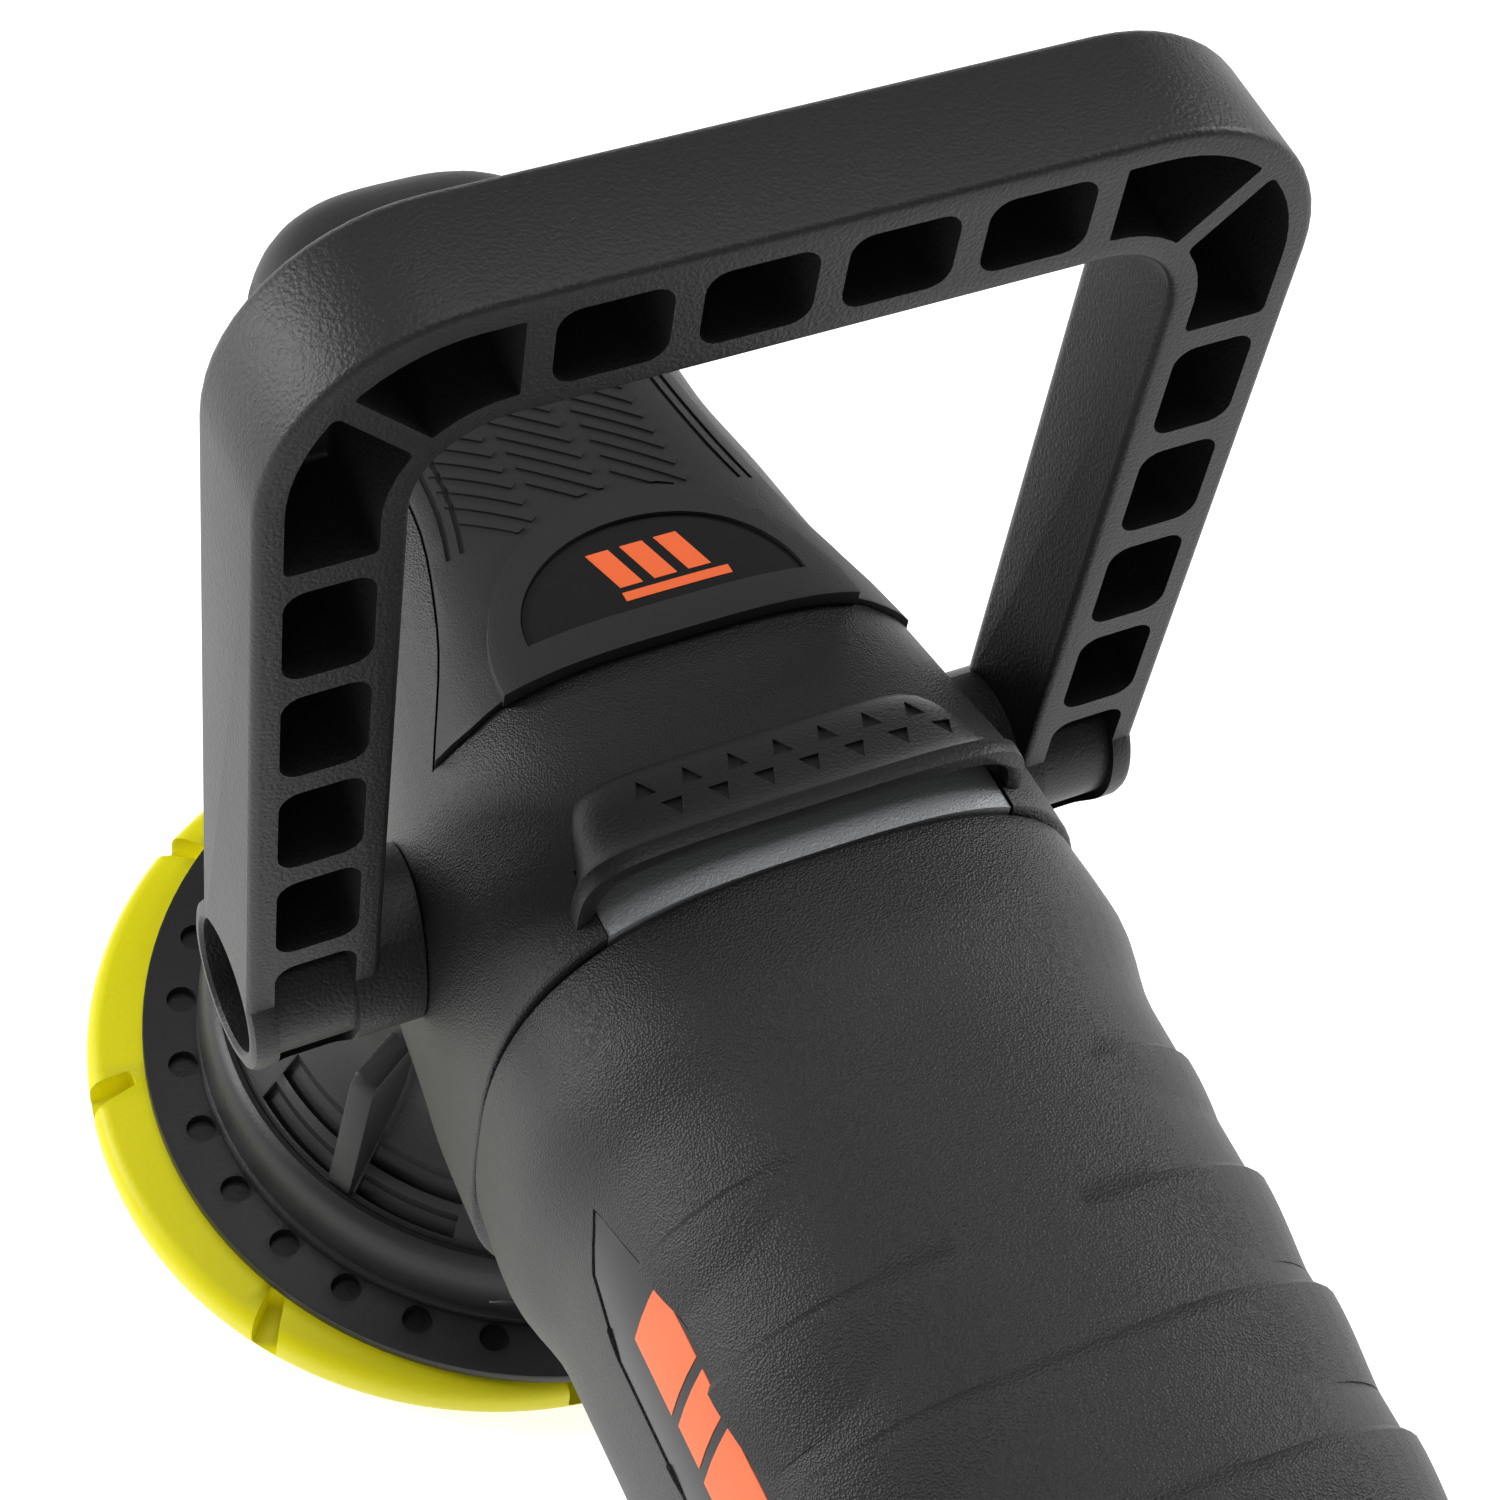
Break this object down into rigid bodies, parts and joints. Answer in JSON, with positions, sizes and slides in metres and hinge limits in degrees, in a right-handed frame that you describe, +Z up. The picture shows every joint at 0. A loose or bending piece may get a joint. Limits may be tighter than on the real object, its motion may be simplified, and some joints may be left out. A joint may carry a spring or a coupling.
{
  "type": "dual-action polisher",
  "caption": "Mains orbital polisher with a bowed front handle, an in-line motor body and grip, and a round backing pad on an offset spindle.",
  "frame": {"origin": "on the spindle axis, in the plane of the backing pad's hook face", "axes": "+Z up along the spindle axis, +Y from the grip towards the nose, +X to the right of a person who holds the grip"},
  "size_m": [0.1324, 0.423, 0.2238],
  "materials": {
    "grained_plastic": "fine moulded grain, black",
    "smooth_plastic": "satin moulded black",
    "soft_rubber": "matt overmoulded rubber",
    "gloss_plate": "gloss black plate with orange shapes",
    "yellow_foam": "bright yellow moulded polyurethane",
    "hook_fabric": "black hook face",
    "cast_aluminium": "fine cast, matt",
    "steel": "ground steel",
    "black_steel": "blackened steel",
    "copper": "turned copper",
    "enamelled_wire": "varnished copper winding",
    "carbon": "pressed carbon",
    "brass": "drawn brass",
    "nylon": "glass-filled nylon, black",
    "fibre_board": "green circuit board"
  },
  "bodies": {
    "tool_body": {"gear_case": "cast_aluminium", "bearing_plate": "cast_aluminium", "head_cover": "grained_plastic", "nose_cover": "soft_rubber", "badge_plate": "gloss_plate", "vent_hood": "smooth_plastic", "d_handle": "smooth_plastic", "shroud": "smooth_plastic", "guard_ring": "smooth_plastic", "motor_housing": "grained_plastic", "spindle_lower_bearing": "steel", "spindle_upper_bearing": "steel", "front_bearing": "steel", "rear_bearing": "steel", "stator_core": "black_steel", "fan_baffle": "nylon", "speed_board": "fibre_board", "switch_body": "nylon", "cord_gland": "soft_rubber", "handle_bolt_left": "black_steel", "handle_washer_left": "steel", "side_label_left": "gloss_plate", "field_coil_left": "enamelled_wire", "brush_holder_left": "brass", "carbon_brush_left": "carbon", "brush_cap_left": "nylon", "grip_shell_left": "grained_plastic", "handle_bolt_right": "black_steel", "handle_washer_right": "steel", "side_label_right": "gloss_plate", "field_coil_right": "enamelled_wire", "brush_holder_right": "brass", "carbon_brush_right": "carbon", "brush_cap_right": "nylon", "grip_shell_right": "grained_plastic", "case_screw_1": "black_steel", "case_screw_2": "black_steel", "case_screw_3": "black_steel", "case_screw_4": "black_steel", "shell_screw_1": "black_steel", "shell_screw_2": "black_steel", "shell_screw_3": "black_steel"},
    "spindle_unit": {"spindle": "steel", "bevel_gear": "black_steel", "eccentric_hub": "cast_aluminium", "counterweight": "steel", "pad_bearing": "steel"},
    "pad": {"backing_pad": "yellow_foam", "hook_face": "hook_fabric", "pad_core": "nylon", "pad_shaft": "steel", "pad_bolt": "black_steel"},
    "armature": {"armature_shaft": "steel", "armature_core": "black_steel", "commutator": "copper", "cooling_fan": "nylon", "bevel_pinion": "black_steel"},
    "trigger_lever": {"trigger": "nylon"},
    "lock": {"lock_button": "nylon"},
    "dial": {"speed_dial": "nylon"}
  },
  "joints": [
    {"name": "spindle_spin", "type": "hinge", "parent": "tool_body", "child": "spindle_unit", "pos_m": [0, 0, 0.05], "axis": [0, 0, 1], "continuous": true},
    {"name": "armature_spin", "type": "hinge", "parent": "tool_body", "child": "armature", "pos_m": [0, -0.1, 0.098], "axis": [0, 1, 0], "continuous": true},
    {"name": "pad_spin", "type": "hinge", "parent": "spindle_unit", "child": "pad", "pos_m": [-0.00709, 0.00244, 0.02], "axis": [0, 0, 1], "continuous": true},
    {"name": "trigger_press", "type": "hinge", "parent": "tool_body", "child": "trigger_lever", "pos_m": [0, -0.206, 0.08], "axis": [-1, 0, 0], "range_deg": [0, 7], "stiffness_Nm_per_rad": 0.8, "springref_deg": -8.59},
    {"name": "lock_press", "type": "slide", "parent": "tool_body", "child": "lock", "axis": [1, 0, 0], "range_m": [0, 0.003], "stiffness_N_per_m": 400, "springref_m": -0.001},
    {"name": "dial_turn", "type": "hinge", "parent": "tool_body", "child": "dial", "pos_m": [0, -0.198, 0.124], "axis": [1, 0, 0], "range_deg": [0, 300]}
  ],
  "couplings": [
    {"joint": "armature_spin", "follows": "spindle_spin", "ratio": -3}
  ]
}
